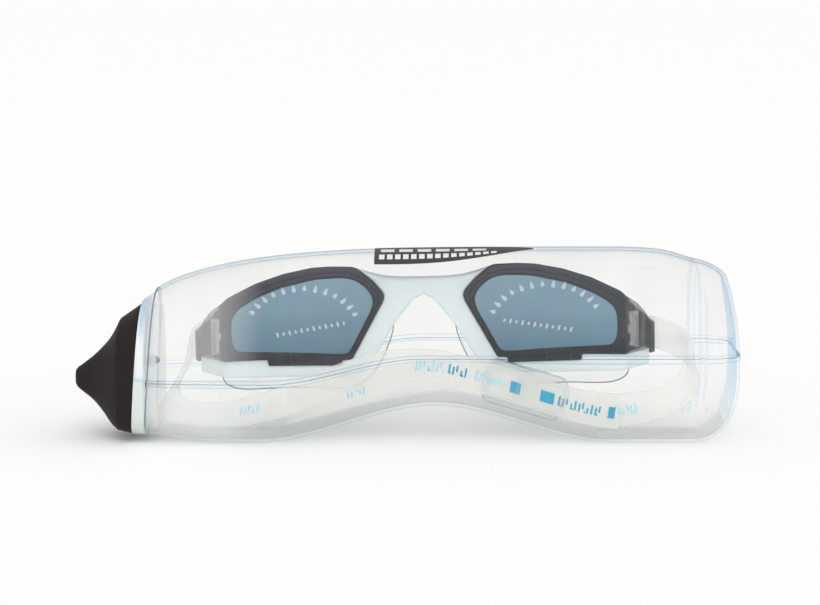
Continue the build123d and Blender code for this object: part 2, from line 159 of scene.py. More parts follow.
def make_light():
    """White surroundings, brighter in front than behind, and one wide soft light from the front and above."""
    graph = Graph("studio", bpy.data.worlds)
    level = graph.spread(graph.place("Y", "Generated"), -1.0, 1.0, WORLD_FRONT, WORLD_BACK)
    graph.done(graph.add("Background", {"Color": WHITE, "Strength": level}), "OutputWorld")
    scene.world = graph.owner
    data = bpy.data.lights.new("front_top", "SUN")
    data.energy, data.angle = SUN_STRENGTH, math.radians(SUN_SPREAD)
    light = bpy.data.objects.new("front_top", data)
    light.rotation_euler = (-SUN_FROM).to_track_quat("-Z", "Y").to_euler()
    light.visible_glossy = False
    scene.collection.objects.link(light)


def make_floor():
    mesh = bpy.data.meshes.new("floor")
    half = 40.0
    mesh.from_pydata([(-half, -half, 0), (half, -half, 0), (half, half, 0), (-half, half, 0)], [], [(0, 1, 2, 3)])
    graph = Graph("floor_paper")
    paper = graph.add("BsdfPrincipled", {"Base Color": (0.975, 0.97, 0.96), "Roughness": 0.9})
    mesh.materials.append(graph.done(paper))
    floor = bpy.data.objects.new("floor", mesh)
    scene.collection.objects.link(floor)


# ---- Materials ----

WHITE, BLACK = (1.0, 1.0, 1.0), (0.0, 0.0, 0.0)
CLEAR_IOR = 1.49
PALE_FROM, PALE_TO = 0.025, 0.056       # heights, in metres, between which the smoke plastic turns paler


class Graph:
    """A material's nodes, or the world's. Each method adds one or a few and gives the socket to use next."""

    def __init__(self, name, owners=bpy.data.materials):
        self.owner = owners.new(name)
        self.owner.use_nodes = True
        self.tree = self.owner.node_tree
        self.tree.nodes.clear()

    def add(self, kind, inputs=None, output=0, **settings):
        """New node. Its inputs are plain values or other nodes' sockets."""
        node = self.tree.nodes.new("ShaderNode" + kind)
        for key, value in settings.items():
            setattr(node, key, value)
        for key, value in (inputs or {}).items():
            socket = node.inputs[key]
            if isinstance(value, bpy.types.NodeSocket):
                self.tree.links.new(value, socket)
            else:
                socket.default_value = (*value, 1.0) if socket.type == "RGBA" else value
        return node.outputs[output] if node.outputs else None

    def place(self, axis, space="Object"):
        """Place along X, Y or Z, in metres."""
        return self.add("SeparateXYZ", {0: self.add("TexCoord", output=space)}, axis)

    def noise(self, scale, detail=2.0, stretch=None, output="Fac"):
        vector = self.add("TexCoord", output="Object")
        if stretch:
            vector = self.add("Mapping", {"Vector": vector, "Scale": stretch})
        return self.add("TexNoise", {"Vector": vector, "Scale": scale, "Detail": detail}, output)

    def bump(self, scale, strength, distance, detail=4.0):
        """Normal from fine noise, and that noise."""
        noise = self.noise(scale, detail)
        return self.add("Bump", {"Strength": strength, "Distance": distance, "Height": noise}), noise

    def spread(self, value, start, stop, low=0.0, high=1.0):
        """Value taken from the range start to stop, to the range low to high."""
        return self.add("MapRange", {"Value": value, "From Min": start, "From Max": stop, "To Min": low,
                                     "To Max": high}, "Result")

    def ramp(self, value, *stops):
        """Colour ramp; each stop is (position, colour)."""
        socket = self.add("ValToRGB", {"Fac": value}, "Color")
        elements = socket.node.color_ramp.elements
        while len(elements) < len(stops):
            elements.new(0.5)
        for element, (position, color) in zip(elements, stops):
            element.position, element.color = position, (*color, 1)
        return socket

    def blend(self, kind, factor, one, other):
        return self.add("Mix", {"Factor": factor, "A": one, "B": other}, "Result", data_type="RGBA",
                        blend_type=kind)

    def math(self, operation, one, other):
        return self.add("Math", {0: one, 1: other}, operation=operation)

    def layers(self, share, under, over):
        """Two shaders, with over taking its share."""
        return self.add("MixShader", {"Fac": share, 1: under, 2: over})

    def outside_fresnel(self):
        """Mirror share on faces met from outside the plastic, and none on faces met from inside it."""
        outside = self.math("SUBTRACT", 1.0, self.add("NewGeometry", output="Backfacing"))
        return self.math("MULTIPLY", self.add("Fresnel", {"IOR": CLEAR_IOR}), outside)

    def done(self, shader, kind="OutputMaterial"):
        self.add(kind, {"Surface": shader})
        return self.owner


def clear_material(name, face_tint, edge_tint, edge_from, roughness=0.04, haze=0.0, scuffs=0.0,
                   light_through=(0.97, 0.97, 0.97), shoulder=0.0):
    """Thin clear moulding: see-through face on, tinted where the wall is seen edge on. haze and scuffs are shares
    of milky white, and shoulder is how much more there is near the mouth."""
    graph = Graph(name)
    facing = graph.add("LayerWeight", {"Blend": 0.5}, "Facing")
    middle = tuple((a * 2 + b) / 3 for a, b in zip(face_tint, edge_tint))
    tint = graph.ramp(facing, (0.0, face_tint), (edge_from, face_tint), ((1 + edge_from) / 2, middle),
                      (0.99, edge_tint))
    noise = graph.noise(28.0, 3.0)
    cloud = graph.ramp(noise, (0.35, (0.985, 0.985, 0.985)), (0.65, WHITE))
    through = graph.add("BsdfTransparent", {"Color": graph.blend("MULTIPLY", 1.0, tint, cloud)})
    gleam = graph.ramp(facing, (0.0, WHITE), (0.6, WHITE), (0.97, edge_tint))
    rough = graph.spread(noise, 0.0, 1.0, roughness * 0.6, roughness * 1.6)
    mirror = graph.add("BsdfGlossy", {"Color": gleam, "Roughness": rough})
    shader = graph.layers(graph.outside_fresnel(), through, mirror)
    if haze > 0 or scuffs > 0:
        milk = graph.add("BsdfDiffuse", {"Color": (0.90, 0.91, 0.90)})
        amount = graph.spread(graph.noise(640.0), 0.68, 0.78, haze, haze + scuffs)
        near_mouth = graph.spread(graph.place("X"), -0.046, -0.062, 0.0, shoulder)
        shader = graph.layers(graph.math("ADD", amount, near_mouth), shader, milk)
    lets_light = graph.add("BsdfTransparent", {"Color": light_through})
    return graph.done(graph.layers(graph.add("LightPath", output="Is Shadow Ray"), shader, lets_light))


def plug_material():
    """Thick clear flange, bluish and streaked above the seam and milky mint below it, with a hazy disc inside. The
    blue towards its top is painted shading.
    """
    graph = Graph("plug_clear")
    z = graph.place("Z")
    # Painted shading: the blue at the top of this height ramp.
    height = graph.ramp(graph.spread(z, 20.6 * MM, 44.6 * MM), (0.0, (0.84, 0.90, 0.845)),
                        (0.03, (0.62, 0.78, 0.84)), (0.09, (0.97, 0.99, 1.0)), (0.55, (0.94, 0.98, 1.0)),
                        (1.0, (0.62, 0.80, 0.94)))
    streaks = graph.ramp(graph.noise(1.0, 2.0, stretch=(500.0, 60.0, 22.0)), (0.34, (0.72, 0.80, 0.90)),
                         (0.5, WHITE), (1.0, WHITE))
    flange = graph.blend("MULTIPLY", graph.spread(z, 20.6 * MM, 23.0 * MM), height, streaks)
    inside = graph.spread(graph.place("X"), -84.6 * MM, -83.6 * MM)
    tint = graph.blend("MIX", inside, flange, (0.95, 0.95, 0.94))
    body = graph.add("BsdfPrincipled", {"Base Color": tint, "Roughness": 0.12, "IOR": CLEAR_IOR})
    lit = graph.layers(0.35, body, graph.add("BsdfTranslucent", {"Color": tint}))
    through = graph.add("BsdfTransparent", {"Color": (0.985, 0.988, 0.988)})
    return graph.done(graph.layers(graph.spread(inside, 0.0, 1.0, 0.03, 0.62), lit, through))


def soft_material(name, color, edge_color, see_through, roughness, grain):
    """Translucent silicone: part see-through, part milky, with light let through from behind."""
    graph = Graph(name)
    normal, noise = graph.bump(grain, 0.25, 0.00008)
    tint = graph.ramp(noise, (0.3, color), (0.7, tuple(min(1.0, c * 1.04) for c in color)))
    body = graph.add("BsdfPrincipled", {"Base Color": tint, "Roughness": roughness, "IOR": 1.41, "Normal": normal})
    lit = graph.layers(0.45, body, graph.add("BsdfTranslucent", {"Color": color}))
    facing = graph.add("LayerWeight", {"Blend": 0.3}, "Facing")
    edge = graph.ramp(facing, (0.0, color), (0.6, color), (1.0, edge_color))
    return graph.done(graph.layers(see_through, lit, graph.add("BsdfTransparent", {"Color": edge})))


def cone_material():
    """Black rubber with a fine moulded grain."""
    graph = Graph("cone_black")
    normal, noise = graph.bump(900.0, 0.35, 0.00012, 6.0)
    tint = graph.ramp(noise, (0.3, (0.0075, 0.0052, 0.005)), (0.75, (0.013, 0.0095, 0.009)))
    return graph.done(graph.add("BsdfPrincipled", {"Base Color": tint, "Roughness": 0.62,
                                                   "Specular IOR Level": 0.22, "Normal": normal}))


def tinted_material(name, tint, opacity, low, high, streaks=0.0):
    """Smoke plastic: a dark tint, a little paler towards its top, that shows some of what is behind it. Its pale
    vertical streaks are painted highlights.
    """
    graph = Graph(name)
    body = graph.ramp(graph.spread(graph.place("Z"), PALE_FROM, PALE_TO), (0.0, low), (0.45, low), (1.0, high))
    # Painted highlights: pale vertical streaks, brighter than the top tint by the streaks amount where one is
    # given, and a faint share of them otherwise.
    pale = tuple(min(1.0, c + streaks) for c in high)
    highlight_streaks = graph.ramp(graph.noise(1.0, 3.0, stretch=(700.0, 260.0, 26.0)), (0.56, BLACK), (0.68, pale))
    both = graph.blend("ADD", 1.0 if streaks else 0.15, body, highlight_streaks)
    normal, _ = graph.bump(120.0, 0.05, 0.00004)
    shader = graph.add("BsdfPrincipled", {"Base Color": both, "Roughness": 0.08, "IOR": 1.5,
                                          "Specular IOR Level": 0.3, "Normal": normal})
    return graph.done(graph.layers(1.0 - opacity, shader, graph.add("BsdfTransparent", {"Color": tint})))


def film_material():
    """Blue-grey protective film: a little lighter towards its top, with faint cloudiness. The darker film below
    the step across its middle is a painted reflection.
    """
    graph = Graph("film_blue")
    # Painted reflection: the step between the middle stops, with darker film below it.
    tint = graph.ramp(graph.spread(graph.place("Z"), 0.028, 0.054), (0.0, (0.070, 0.155, 0.225)),
                      (0.42, (0.112, 0.208, 0.275)), (0.55, (0.140, 0.240, 0.312)), (1.0, (0.165, 0.270, 0.345)))
    cloudy = graph.blend("OVERLAY", 0.12, tint, graph.noise(160.0, output="Color"))
    return graph.done(graph.add("BsdfPrincipled", {"Base Color": cloudy, "Roughness": 0.32}))


def print_material(name, color):
    """Printed ink, a little uneven."""
    graph = Graph(name)
    normal, noise = graph.bump(400.0, 0.1, 0.00003)
    tint = graph.ramp(noise, (0.2, tuple(c * 0.9 for c in color)), (0.8, color))
    return graph.done(graph.add("BsdfPrincipled", {"Base Color": tint, "Roughness": 0.45, "Normal": normal}))


# ---- Mesh helpers ----

def add_piece(name, mesh, body, looks, replaced, sharp_deg=35.0):
    """Puts a mesh in the scene with its materials, riding on a body in place of CAD nodes."""
    piece = bpy.data.objects.new(name, mesh)
    scene.collection.objects.link(piece)
    for look in looks:
        mesh.materials.append(bpy.data.materials[look])
    for face in mesh.polygons:
        face.use_smooth = True
    mesh.set_sharp_from_angle(angle=math.radians(sharp_deg))
    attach(piece, body)
    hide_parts(*replaced)


def mesh_from(name, points, faces, indexes=None):
    """Mesh from points in millimetres, with its normals made to agree."""
    mesh = bpy.data.meshes.new(name)
    mesh.from_pydata([Vector(p) * MM for p in points], [], faces)
    if indexes:
        for polygon, index in zip(mesh.polygons, indexes):
            polygon.material_index = index
    tool = bmesh.new()
    tool.from_mesh(mesh)
    bmesh.ops.remove_doubles(tool, verts=tool.verts, dist=1e-7)
    bmesh.ops.dissolve_degenerate(tool, dist=1e-7, edges=tool.edges)
    bmesh.ops.recalc_face_normals(tool, faces=tool.faces)
    tool.to_mesh(mesh)
    tool.free()
    return mesh


def between(a, b, t):
    """Point at share t of the way from a to b."""
    return tuple(p + (q - p) * t for p, q in zip(a, b))


def catmull(p0, p1, p2, p3, t):
    """Centripetal Catmull-Rom point between p1 and p2."""
    def knot(a, b):
        return max(1e-6, math.dist(a, b)) ** 0.5
    t1 = knot(p0, p1)
    t2 = t1 + knot(p1, p2)
    t3 = t2 + knot(p2, p3)
    u = t1 + (t2 - t1) * t

    def blend(a, b, ta, tb):
        return tuple(((tb - u) * x + (u - ta) * y) / (tb - ta) for x, y in zip(a, b))
    a1, a2, a3 = blend(p0, p1, 0.0, t1), blend(p1, p2, t1, t2), blend(p2, p3, t2, t3)
    return blend(blend(a1, a2, 0.0, t2), blend(a2, a3, t1, t3), t1, t2)


def smooth(points, count, closed=False):
    """Curve through points, sampled evenly by length."""
    if closed:
        around = [points[-1], *points, *points[:2]]
    else:
        around = [between(points[1], points[0], 2), *points, between(points[-2], points[-1], 2)]
    spans, fine = len(around) - 3, 16 if closed else 12
    dense = [catmull(*around[i:i + 4], s / fine) for i in range(spans) for s in range(fine)]
    return even(dense + [around[-2]], count + closed)[:count]


def even(points, count):
    """Points spaced evenly along a polyline."""
    lengths = [0.0]
    for a, b in zip(points, points[1:]):
        lengths.append(lengths[-1] + math.dist(a, b))
    result, k = [], 0
    for i in range(count):
        target = lengths[-1] * i / (count - 1)
        while k < len(points) - 2 and lengths[k + 1] < target:
            k += 1
        span = max(1e-9, lengths[k + 1] - lengths[k])
        t = min(1.0, (target - lengths[k]) / span)
        result.append(between(points[k], points[k + 1], t))
    return result


def rounded(points, radius, spacing):
    """Closed polygon with its corners rounded, sampled about every spacing."""
    n, dense = len(points), []
    for i in range(n):
        before, corner, after = points[i - 1], points[i], points[(i + 1) % n]
        back, ahead = math.dist(corner, before), math.dist(corner, after)
        cut = min(radius, back * 0.48, ahead * 0.48)
        start, stop = between(corner, before, cut / back), between(corner, after, cut / ahead)
        for k in range(9):
            dense.append(between(between(start, corner, k / 8), between(corner, stop, k / 8), k / 8))
    dense.append(dense[0])
    length = sum(math.dist(a, b) for a, b in zip(dense, dense[1:]))
    return even(dense, round(length / spacing) + 1)[:-1]


def reach_outline(middle, through, outline):
    """Point where the ray from middle through another point leaves a closed outline."""
    dx, dz = through[0] - middle[0], through[1] - middle[1]
    best = 0.0
    for (ax, az), (bx, bz) in zip(outline, outline[1:] + outline[:1]):
        ex, ez = bx - ax, bz - az
        cross = dx * ez - dz * ex
        if abs(cross) < 1e-12:
            continue
        t = ((ax - middle[0]) * ez - (az - middle[1]) * ex) / cross
        u = ((ax - middle[0]) * dz - (az - middle[1]) * dx) / cross
        if -1e-9 <= u <= 1 + 1e-9:
            best = max(best, t)
    return middle[0] + dx * best, middle[1] + dz * best


def pulled_in(loop, middle, distance):
    """Loop moved towards a middle point by a distance."""
    return [between(point, middle, distance / math.dist(point, middle)) for point in loop]


def area(loop):
    """Twice a closed loop's area, negative if it runs clockwise."""
    return sum(a[0] * b[1] - b[0] * a[1] for a, b in zip(loop, loop[1:] + loop[:1]))


def inset_loop(points, distance):
    """Closed 2-D loop moved inwards by distance along its own normals."""
    n = len(points)
    sign = 1.0 if area(points) > 0 else -1.0
    result = []
    for i, (x, z) in enumerate(points):
        (ax, az), (bx, bz) = points[i - 2], points[(i + 2) % n]
        push = sign * distance / math.hypot(bx - ax, bz - az)
        result.append((x - (bz - az) * push, z + (bx - ax) * push))
    return result


def ring_faces(rows, count, start=0, closed=True):
    """Quads between rows of count points each."""
    faces = []
    for r in range(rows - 1):
        for c in range(count if closed else count - 1):
            a, b = start + r * count + c, start + r * count + (c + 1) % count
            faces.append((a, b, b + count, a + count))
    return faces


def ring(start, count):
    return tuple(range(start, start + count))


def capped(rows, count, start=0):
    """Quads between rows of points, and one face over the last row."""
    return ring_faces(rows, count, start) + [ring(start + (rows - 1) * count, count)]


# ---- Case ----

def smoothstep(value):
    value = min(1.0, max(0.0, value))
    return value * value * (3.0 - 2.0 * value)


def seam_z(x):
    return SEAM_LOW + (SEAM_HIGH - SEAM_LOW) * smoothstep((x - SEAM_STEP[0]) / (SEAM_STEP[1] - SEAM_STEP[0]))


def bottom_z(x):
    arch = ARCH_HEIGHT * (1.0 - smoothstep(abs(x - ARCH_X) / ARCH_HALF_WIDTH))
    return arch + NECK_BOTTOM_RISE * smoothstep((-60.0 - x) / 30.0) - FOOT_DIP


def profile_at(x, column):
    xs, ys = ([row[c] for row in CASE_PROFILE] for c in (0, column))
    rises = [(ys[i + 1] - ys[i]) / (xs[i + 1] - xs[i]) for i in range(len(xs) - 1)]
    slopes = [rises[0]]
    for before, after in zip(rises, rises[1:]):
        slopes.append(0.0 if before * after <= 0 else 2 * before * after / (before + after))
    slopes.append(rises[-1])
    i = max(k for k in range(len(xs) - 1) if k == 0 or xs[k] <= x)
    span = xs[i + 1] - xs[i]
    t = (x - xs[i]) / span
    start = (1 + 2 * t) * (1 - t) ** 2 * ys[i] + t * (1 - t) ** 2 * span * slopes[i]
    return start + t * t * (3 - 2 * t) * ys[i + 1] - t * t * (1 - t) * span * slopes[i + 1]


def skin_yz(x, share, side, upper, inset, shrink):
    """Point of the case's cross-section at x. share goes from 0 at the seam to 1 at the crown or the floor."""
    middle = seam_z(x)
    if upper:
        reach, power = profile_at(x, 1) - inset - shrink * 0.4 - middle, ROUND_TOP
    else:
        reach, power = middle - bottom_z(x) - inset - shrink, FLAT_BOTTOM
    half = profile_at(x, 2) - inset - shrink
    angle = share * math.pi / 2
    across, up = math.cos(angle) ** (2 / power), math.sin(angle) ** (2 / power)
    z = middle + (reach * up if upper else -reach * up)
    return side * half * across, max(z, inset if inset > 0 else 0.0)


def tail_bulge(z):
    """How far short of the tail's furthest point the end face is at height z."""
    return 4.6 * ((z - 24.6) / 32.0) ** 2 if z > 24.6 else 6.0 * (max(0.0, 24.6 - z) / 24.6) ** 2.2


def skin_rows():
    """Rows along the case: X at mid height, how far the section shrinks for the rounded tail, and a share of 1
    that falls to 0 as the end face closes."""
    start = SHELL_START_X + 20.0 * MOUTH_SLOPE
    flat_end = CASE_END_X - TAIL_ROUND
    rows = [(start, 0.0, 1.0)]
    rows += [(start + 0.5 + (86.0 - start - 0.5) * i / 84, 0.0, 1.0) for i in range(84)]
    rows += [(86.0 + (flat_end - 86.0) * i / 34, 0.0, 1.0) for i in range(34)]
    for i in range(15):
        a = math.pi / 2 * i / 14
        rows.append((flat_end + TAIL_ROUND * math.sin(a), TAIL_ROUND * (1 - math.cos(a)), 1.0))
    rows += [(CASE_END_X, TAIL_ROUND, 1.0 - i / 12) for i in range(1, 13)]
    return rows


def skin_columns(reach, power):
    """Shares round one quarter of the section, close together in the bead at the seam."""
    bead = [math.asin(min(1.0, (h / reach)) ** (power / 2)) * 2 / math.pi for h in (0.0, 0.25, 1.0, 1.3, 1.6)]
    return bead + [bead[-1] + (1 - bead[-1]) * (i / 22) ** 0.9 for i in range(1, 23)]


def groove_depth(x, z):
    """Depth of the grooves in the tail's sides, which hook away from the end near their feet."""
    hook = 6.0 * smoothstep((20.0 - z) / 10.0) ** 2
    fade = smoothstep((z - 9.0) / 3.0) * smoothstep((59.5 - z) / 3.0)
    return max(fade * RIB_DEPTH * (1 - smoothstep(abs(x - (rib - hook)) / RIB_HALF_WIDTH)) for rib in RIB_XS)


def skin_point(row, share, side, upper, inset):
    x, shrink, closing = row
    round_part = shrink / TAIL_ROUND
    if inset > 0 and shrink > 0:
        x -= inset * math.sqrt(max(0.0, 1 - (1 - round_part) ** 2))
        shrink = shrink * (TAIL_ROUND - inset) / TAIL_ROUND
    mouth = smoothstep((-58.0 - x) / 24.0)
    tail = smoothstep((x - 80.0) / 20.0)
    px = x
    for _ in range(3):
        y, z = skin_yz(px, share, side, upper, inset, shrink)
        px = x + mouth * (z - 20.0) * MOUTH_SLOPE
    middle = seam_z(px)
    y, z = y * closing, middle + (z - middle) * closing
    px -= tail * tail_bulge(z)
    depth = groove_depth(px, z) if closing == 1.0 and x > 85 else 0.0
    return px, y - side * depth, z


def in_groove(point, ahead):
    """True on the flanks of the tail's grooves, from a point and the one ahead of it along the case."""
    return abs(abs(point[1]) - abs(ahead[1])) / max(0.05, ahead[0] - point[0]) > 0.42


def case_half(upper):
    """One half of the case: outer skin with its seam bead, inner skin, and the edges that join them. Materials:
    0 wall, 1 bead, 2 the line where it meets the wall, tinted darker as painted shade of the bead's fillet,
    3 underside, 4 the tail's grooves, with flanks tinted darker as painted shade, 5 the mouth's edge."""
    rows = skin_rows()
    quarter = skin_columns(*((33.0, ROUND_TOP) if upper else (24.0, FLAT_BOTTOM)))
    shares = [(s, 1) for s in quarter] + [(s, -1) for s in reversed(quarter[:-1])]
    grids = [[[Vector(skin_point(row, s, side, upper, inset)) for s, side in shares] for row in rows]
             for inset in (0.0, CASE_WALL)]
    bead_outer(grids[0])
    count, size = len(shares), len(rows) * len(shares)
    points = [tuple(p) for grid in grids for line in grid for p in line]
    faces, marks = [], []
    for g in range(2):
        for face in ring_faces(len(rows), count, g * size, closed=False):
            row, column = divmod(face[0] - g * size, count)
            edge = min(column, count - 2 - column)
            faces.append(face)
            here = points[face[0]]
            if g == 0 and row < 1:
                marks.append(5)
            elif g == 0 and 84 < row < 118 and 9 < here[2] < 58 and in_groove(here, points[face[0] + count]):
                marks.append(4)
            elif g == 0 and edge < 3:
                marks.append((1, 1, 2)[edge])
            else:
                marks.append(3 if not upper and shares[column][0] > 0.72 and row < 134 else 0)
    along = [(a, a + count) for r in range(len(rows) - 1) for a in (r * count, r * count + count - 1)]
    across = [(c, c + 1) for c in range(count - 1)]
    faces += [(a, b, b + size, a + size) for a, b in along + across]
    marks += [1] * len(along) + [5] * len(across)
    return mesh_from("case_upper_skin" if upper else "case_lower_skin", points, faces, marks)


def bead_outer(grid):
    """Raises the columns beside the seam along their normals."""
    count = len(grid[0])
    moved = {}
    for r, line in enumerate(grid):
        for c in list(range(4)) + list(range(count - 4, count)):
            ahead, behind = grid[min(r + 1, len(grid) - 1)][c], grid[max(r - 1, 0)][c]
            one, other = line[min(c + 1, count - 1)], line[max(c - 1, 0)]
            normal = (ahead - behind).cross(one - other)
            if normal.length < 1e-9:
                continue
            normal.normalize()
            centre = Vector((line[c].x - 30.0, 0, line[c].z))
            if normal.dot(line[c] - centre) < 0:
                normal.negate()
            edge = min(c, count - 1 - c)
            proud = BEAD_PROUD * (0.72, 1.0, 1.0, 0.25)[edge] * (1 - 0.85 * smoothstep((line[c].x - 92.0) / 10.0))
            moved[(r, c)] = line[c] + normal * proud
    for (r, c), point in moved.items():
        grid[r][c] = point


def make_case():
    looks = ["case_clear" + part for part in ("", "_bead", "_line", "_base", "_groove", "_mouth")]
    for name, upper in (("case_upper", True), ("case_lower", False)):
        add_piece(name + "_skin", case_half(upper), "case", looks, [name + "_shell"], 28.0)


# ---- Label ----

LABEL_X = (-10.5, 41.0)


def label_span(u):
    """Y of the label's front and back edges at a share u of its length, from its blunt end to its point."""
    swell = 1 - u ** 2.2
    return -4.0 - 10.4 * swell * (0.92 + 0.3 * u), -2.0 + 10.5 * swell


def case_top(x, y):
    """Height of the case's skin above (x, y)."""
    middle, half = seam_z(x), profile_at(x, 2)
    return middle + (profile_at(x, 1) - middle) * (1 - (abs(y) / half) ** ROUND_TOP) ** (1 / ROUND_TOP)


def label_patch(u_range, v_range, lift, rows, columns):
    """Part of the label, by shares along and across it, as a thin patch that follows the case's skin."""
    points = []
    for i in range(rows + 1):
        u = u_range[0] + (u_range[1] - u_range[0]) * i / rows
        x = LABEL_X[0] + (LABEL_X[1] - LABEL_X[0]) * u
        front, back = label_span(u)
        for j in range(columns + 1):
            y = front + (back - front) * (v_range[0] + (v_range[1] - v_range[0]) * j / columns)
            points.append((x, y, case_top(x, y) + lift))
    return points, ring_faces(rows + 1, columns + 1, closed=False)


def make_label():
    """Label with plain bars: short dashes along its front edge and longer blocks behind them."""
    points, faces = label_patch((0.0, 0.995), (0.0, 1.0), 0.12, 60, 26)
    marks = [0] * len(faces)
    dashes = [(0.03 + 0.05 * i, 0.03 + 0.05 * i + 0.034, 0.10, 0.24) for i in range(15)]
    blocks = [(0.04 + 0.115 * i, 0.04 + 0.115 * i + 0.085, 0.34, 0.52) for i in range(6)]
    for u0, u1, v0, v1 in dashes + blocks:
        more_points, more_faces = label_patch((u0, u1), (v0, v1), 0.2, 4, 4)
        faces += [tuple(len(points) + k for k in face) for face in more_faces]
        points += more_points
        marks += [1] * len(more_faces)
    add_piece("label_print", mesh_from("label_print", points, faces, marks), "case",
              ("label_grey", "label_white"), ["case_label"])


# ---- Goggles ----

def wrap(distance, depth):
    """Plan position of a point at a distance out along the lens's front and a depth behind its face."""
    slope_x, slope_y = SIDE_END[0] - BEND_X, SIDE_END[1] - BEND_Y
    length = math.hypot(slope_x, slope_y)
    slope_x, slope_y = slope_x / length, slope_y / length
    bend = smoothstep((distance - BEND_X + 1.6) / 3.2)
    over = max(0.0, distance - BEND_X)
    y = BEND_Y + over / slope_x * slope_y
    inward_x, inward_y = -slope_y * bend, 1.0 - (1.0 - slope_x) * bend
    return distance + inward_x * depth, y + inward_y * depth


def on_goggles(side, distance, z, depth):
    x, y = wrap(distance, depth)
    return GOGGLES_X + side * x, y, z


def side_relief(distance):
    """Height of the grip ribs and steps on the side window, at a distance out from the bridge."""
    return max(height * (1 - smoothstep(abs(distance - middle) / (half * 1.6)))
               for middle, half, height in ((67.6, 0.45, 0.30), (71.0, 0.35, 0.22), (73.0, 0.35, 0.22)))


def lens_mesh(side):
    """Lens: a rounded rim, a stepped band, the sunk pane in the middle and the side window with its ribs."""
    outer = rounded(LENS_OUTLINE, 1.0, 0.45)
    pane_edge = rounded(PANE_OUTLINE, 3.0, 0.5)
    pane = [reach_outline(PANE_MIDDLE, p, pane_edge) for p in outer]
    count = len(outer)
    rings = [(outer, LENS_THICKNESS - 0.3), (outer, 0.6)]
    rings += [(inset_loop(outer, 0.12), 0.34), (inset_loop(outer, 0.4), 0.14)]
    rings += [(mixed(outer, pane, share), depth) for share, depth in LENS_BAND]
    rings += [(pulled_in(pane, PANE_MIDDLE, d), 0.44) for d in (1.0, 5.0)]
    points = []
    for loop, depth in rings:
        for x, z in loop:
            points.append(on_goggles(side, x, z, depth - (side_relief(x) if depth < 0.1 else 0.0)))
    faces = capped(len(rings), count)
    back = len(points)
    back_rings = [(outer, LENS_THICKNESS - 0.3), (inset_loop(outer, 0.3), LENS_THICKNESS),
                  (pane, LENS_THICKNESS), (pulled_in(pane, PANE_MIDDLE, 5.0), LENS_THICKNESS)]
    points += [on_goggles(side, x, z, depth) for loop, depth in back_rings for x, z in loop]
    faces += capped(len(back_rings), count, back)
    reach = [sum(abs(points[k][0] - GOGGLES_X) for k in face) / len(face) for face in faces]
    return mesh_from("lens", points, faces, [int(distance > BEND_X + 1.2) for distance in reach])


def align(loop):
    """Starts the loop at its point furthest out along the middle height, and runs it one way round."""
    if area(loop) < 0:
        loop = loop[::-1]
    n = len(loop)
    cx, cz = sum(p[0] for p in loop) / n, sum(p[1] for p in loop) / n
    start = min(range(n), key=lambda i: abs(math.atan2(loop[i][1] - cz, loop[i][0] - cx)))
    return loop[start:] + loop[:start]


def mixed(one, other, share):
    return [between(a, b, share) for a, b in zip(one, other)]


def film_mesh(side):
    """Film on the pane, with an arc of plain drops and a short row of dashes printed on it."""
    edge = pulled_in(rounded(PANE_OUTLINE, 3.0, 0.6), PANE_MIDDLE, 0.45)
    count = len(edge)
    rings = [(edge, 0.42), (edge, 0.24)]
    rings += [(pulled_in(edge, PANE_MIDDLE, d), 0.2 - 0.02 * d) for d in (0.4, 2.0, 5.0, 9.0)]
    points = [on_goggles(side, x, z, depth) for loop, depth in rings for x, z in loop]
    faces = capped(len(rings), count)
    plain = len(faces)
    for corners in film_marks():
        faces.append(ring(len(points), len(corners)))
        points += [on_goggles(side, x, z, FILM_PRINT_DEPTH) for x, z in corners]
    return mesh_from("film", points, faces, [0] * plain + [1] * (len(faces) - plain))


def film_marks():
    """Plain marks on the film: an arc of drops along its top and a short slanting row of dashes below it."""
    marks = []
    for i in range(13):
        angle = math.radians(160.0 - 11.2 * i)
        cx, cz = 39.2 + 18.2 * math.cos(angle), 37.2 + 13.4 * math.sin(angle)
        marks.append(turned(drop(2.7 if i % 3 else 2.1, 2.0), angle, cx, cz))
    for i in range(12):
        along = -10.5 + 1.95 * i
        marks.append(turned(dash(1.7 if i % 2 else 1.2, 0.7), 1.25, 36.4 + along, 37.2 - 0.16 * along))
    return marks


def turned(points, turn, x, z):
    """Points turned about the origin and then moved to (x, z)."""
    cos, sin = math.cos(turn), math.sin(turn)
    return [(x + a * cos - b * sin, z + a * sin + b * cos) for a, b in points]


def drop(length, width):
    """Outline of a drop whose point faces along X."""
    angles = [2 * math.pi * i / 16 for i in range(16)]
    return [(length / 2 * math.cos(a), width / 2 * math.sin(a) * (0.55 - 0.45 * math.cos(a))) for a in angles]


def dash(length, width):
    """Outline of a dash with round ends."""
    angles = [2 * math.pi * i / 12 for i in range(12)]
    return [(math.copysign(length / 2 - width / 2, math.cos(a)) + width / 2 * math.cos(a), width / 2 * math.sin(a))
            for a in angles]


